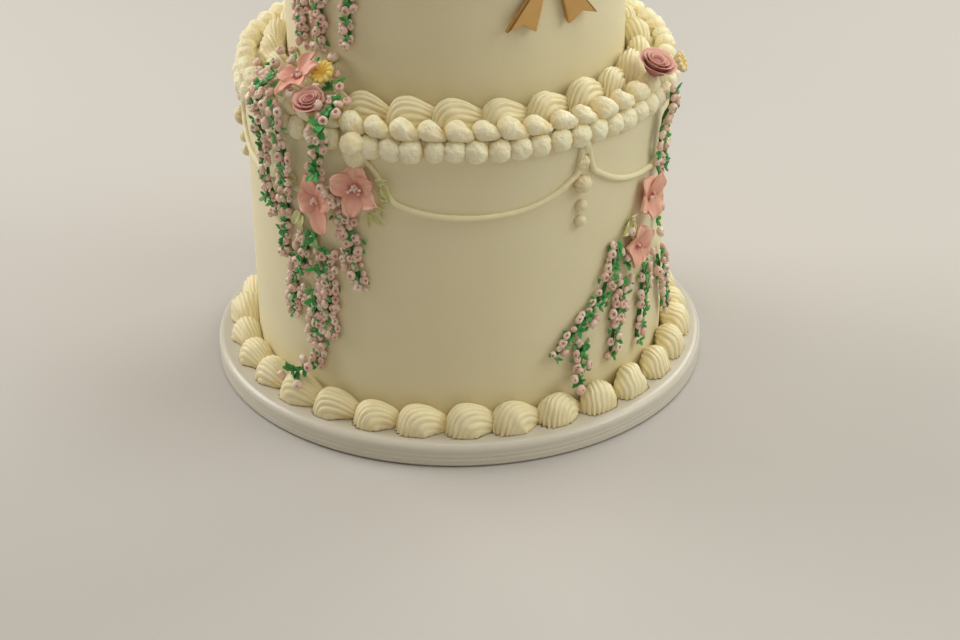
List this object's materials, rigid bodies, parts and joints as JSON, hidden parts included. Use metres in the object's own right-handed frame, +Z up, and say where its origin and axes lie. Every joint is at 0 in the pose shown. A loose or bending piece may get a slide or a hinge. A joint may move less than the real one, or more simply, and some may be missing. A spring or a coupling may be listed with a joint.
{
  "type": "two-tier celebration cake",
  "caption": "Two-tier round iced cake on a white cake board, with piped shell borders, pearls, string swags, wisteria strands, sugar blossoms and a gold bow.",
  "frame": {"origin": "centre of the cake board's underside", "axes": "+Z up, -Y towards the front with the wide plain stretch of the lower tier, +X to the right as seen from the front"},
  "size_m": [0.254, 0.254, 0.3246],
  "materials": {
    "icing": "satin ivory buttercream",
    "board": "satin white foil paper",
    "blossom": "satin dusty pink buttercream",
    "rose": "satin dusky rose buttercream",
    "yellow": "satin yellow buttercream",
    "pale_flower": "satin pale cream buttercream",
    "wisteria": "satin pale pink buttercream with green between",
    "leaf": "satin pale green buttercream",
    "gold": "gold mirror sheet"
  },
  "bodies": {
    "root": {"cake_board": "board", "lower_tier": "icing", "upper_tier": "icing", "base_shells": "icing", "middle_shells": "icing", "small_pearls_lower": "icing", "large_pearls_lower": "icing", "small_pearls_upper": "icing", "large_pearls_upper": "icing", "swags_lower": "icing", "swags_upper": "icing", "gold_bow": "gold", "blossom_left_1": "blossom", "blossom_left_2": "blossom", "blossom_right_1": "blossom", "blossom_right_2": "blossom", "blossom_ledge": "blossom", "blossom_top": "blossom", "flower_yellow_ledge": "yellow", "flower_yellow_top": "yellow", "flower_white_right": "pale_flower", "rose_ledge": "rose", "rose_right": "rose", "rose_top": "rose", "strand_left_1": "wisteria", "strand_left_2": "wisteria", "strand_left_3": "wisteria", "strand_left_4": "wisteria", "strand_left_5": "wisteria", "strand_left_6": "wisteria", "strand_left_7": "wisteria", "strand_right_1": "wisteria", "strand_right_2": "wisteria", "strand_right_3": "wisteria", "strand_right_4": "wisteria", "strand_right_5": "wisteria", "strand_right_6": "wisteria", "strand_upper_1": "wisteria", "strand_upper_2": "wisteria", "strand_upper_3": "wisteria", "leaf_1": "leaf", "leaf_2": "leaf", "leaf_3": "leaf", "leaf_4": "leaf"}
  },
  "joints": []
}
